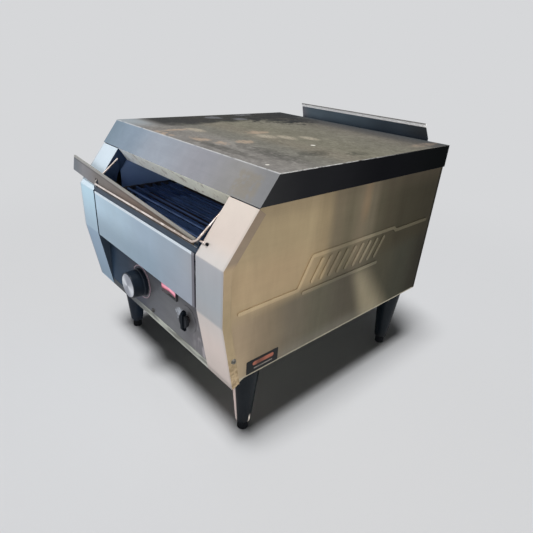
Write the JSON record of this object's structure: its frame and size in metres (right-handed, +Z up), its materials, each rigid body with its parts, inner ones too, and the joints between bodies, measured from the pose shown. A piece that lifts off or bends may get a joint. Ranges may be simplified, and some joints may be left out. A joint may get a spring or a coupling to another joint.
{
  "type": "conveyor toaster",
  "caption": "Countertop conveyor toaster: folded steel casing on tapered legs, slanted loading mouth, rod belt between heating elements, crumb drawer, speed knob, selector and lit power switch.",
  "frame": {"origin": "on the counter, midway between the four feet", "axes": "+X to the right seen from the front, +Y from the front to the back, +Z up"},
  "size_m": [0.4015, 0.4441, 0.3835],
  "materials": {
    "lid_steel": "worn satin stainless, stained by heat",
    "side_steel": "brushed stainless with pressed ribs",
    "pillar_steel": "satin stainless",
    "drawer_steel": "satin stainless",
    "control_steel": "smooth dark reflecting stainless",
    "casing_steel": "plain folded sheet",
    "baffle_steel": "plain sheet, spotted by heat",
    "guard_steel": "dull blue-grey sheet",
    "feed_guard_steel": "heat-tanned sheet",
    "feed_rod_steel": "polished rod",
    "belt_steel": "drawn wire, darkened by heat",
    "shaft_steel": "turned",
    "chain_steel": "oiled",
    "bush_bronze": "turned",
    "reflector_aluminium": "bright sheet",
    "element_steel": "oxidised tube",
    "ceramic": "unglazed",
    "motor_metal": "cast and painted",
    "knob_black": "moulded",
    "knob_silver": "turned cap",
    "rocker_red": "translucent, lit from inside",
    "plastic_black": "moulded",
    "switch_resin": "moulded resin",
    "screw_steel": "plated",
    "leg_metal": "dark polished enamel",
    "foot_rubber": "moulded"
  },
  "bodies": {
    "casing": {"base_pan": "casing_steel", "side_panel_left": "side_steel", "side_panel_right": "side_steel", "front_pillar_left": "pillar_steel", "front_pillar_right": "pillar_steel", "control_panel": "control_steel", "heat_deck": "casing_steel", "rear_panel": "casing_steel", "lid": "lid_steel", "lid_baffle": "baffle_steel", "rear_guard": "guard_steel", "loading_tray": "feed_guard_steel", "feed_rod": "feed_rod_steel", "toast_chute": "casing_steel", "conveyor_frame_left": "casing_steel", "conveyor_frame_right": "casing_steel", "frame_ties": "shaft_steel", "shaft_bushes": "bush_bronze", "conveyor_chains": "chain_steel", "conveyor_rods": "belt_steel", "gearmotor": "motor_metal", "drive_chain": "chain_steel", "upper_elements": "element_steel", "lower_elements": "element_steel", "element_insulators": "ceramic", "upper_reflector": "reflector_aluminium", "lower_reflector": "reflector_aluminium", "fan_frame": "plastic_black", "speed_control": "switch_resin", "speed_dial": "control_steel", "selector_switch": "switch_resin", "selector_dial": "knob_silver", "power_switch": "plastic_black", "terminal_block": "ceramic", "cord_gland": "plastic_black", "body_screws": "screw_steel", "leg_nuts": "screw_steel", "leg_front_left": "leg_metal", "leg_front_right": "leg_metal", "leg_back_left": "leg_metal", "leg_back_right": "leg_metal"},
    "drive_shaft": {"drive_shaft": "shaft_steel", "drive_sprockets": "chain_steel", "driven_sprocket": "chain_steel"},
    "idler_shaft": {"idler_shaft": "shaft_steel", "idler_sprockets": "chain_steel"},
    "motor_output": {"motor_sprocket": "shaft_steel"},
    "fan_rotor": {"fan_rotor": "plastic_black"},
    "speed_knob": {"speed_shaft": "shaft_steel", "speed_knob": "knob_black", "knob_cap": "knob_silver"},
    "selector_knob": {"selector_knob": "knob_black"},
    "power_rocker": {"power_rocker": "rocker_red"},
    "crumb_drawer": {"front_panel": "drawer_steel", "crumb_tray": "casing_steel"},
    "feed_guard": {"feed_guard": "feed_guard_steel"},
    "foot_front_left": {"foot_front_left": "foot_rubber"},
    "foot_front_right": {"foot_front_right": "foot_rubber"},
    "foot_back_left": {"foot_back_left": "foot_rubber"},
    "foot_back_right": {"foot_back_right": "foot_rubber"}
  },
  "joints": [
    {"name": "drive_shaft_spin", "type": "hinge", "parent": "casing", "child": "drive_shaft", "pos_m": [0, 0.1065, 0.248], "axis": [1, 0, 0], "continuous": true},
    {"name": "idler_shaft_spin", "type": "hinge", "parent": "casing", "child": "idler_shaft", "pos_m": [0, -0.1735, 0.248], "axis": [1, 0, 0], "continuous": true},
    {"name": "motor_output_spin", "type": "hinge", "parent": "casing", "child": "motor_output", "pos_m": [0.1485, 0.1065, 0.16], "axis": [1, 0, 0], "continuous": true},
    {"name": "fan_spin", "type": "hinge", "parent": "casing", "child": "fan_rotor", "pos_m": [-0.06, 0.1815, 0.16], "axis": [0, 1, 0], "continuous": true},
    {"name": "speed_knob_turn", "type": "hinge", "parent": "casing", "child": "speed_knob", "pos_m": [-0.029, -0.208, 0.1605], "axis": [0, 1, 0], "range_deg": [-150, 120]},
    {"name": "selector_knob_turn", "type": "hinge", "parent": "casing", "child": "selector_knob", "pos_m": [0.092, -0.208, 0.16], "axis": [0, 1, 0], "range_deg": [-60, 60]},
    {"name": "power_rocker_press", "type": "hinge", "parent": "casing", "child": "power_rocker", "pos_m": [0.05, -0.205, 0.186], "axis": [0, 0, 1], "range_deg": [-16, 0]},
    {"name": "crumb_drawer_slide", "type": "slide", "parent": "casing", "child": "crumb_drawer", "axis": [0, -1, 0], "range_m": [0, 0.33]},
    {"name": "feed_guard_lift", "type": "slide", "parent": "casing", "child": "feed_guard", "axis": [0, 0, 1], "range_m": [0, 0.06]},
    {"name": "foot_front_left_screw", "type": "slide", "parent": "casing", "child": "foot_front_left", "axis": [0, 0, -1], "range_m": [0, 0.015]},
    {"name": "foot_front_right_screw", "type": "slide", "parent": "casing", "child": "foot_front_right", "axis": [0, 0, -1], "range_m": [0, 0.015]},
    {"name": "foot_back_left_screw", "type": "slide", "parent": "casing", "child": "foot_back_left", "axis": [0, 0, -1], "range_m": [0, 0.015]},
    {"name": "foot_back_right_screw", "type": "slide", "parent": "casing", "child": "foot_back_right", "axis": [0, 0, -1], "range_m": [0, 0.015]}
  ],
  "couplings": [
    {"joint": "idler_shaft_spin", "follows": "drive_shaft_spin", "ratio": 1},
    {"joint": "motor_output_spin", "follows": "drive_shaft_spin", "ratio": 1.5}
  ]
}
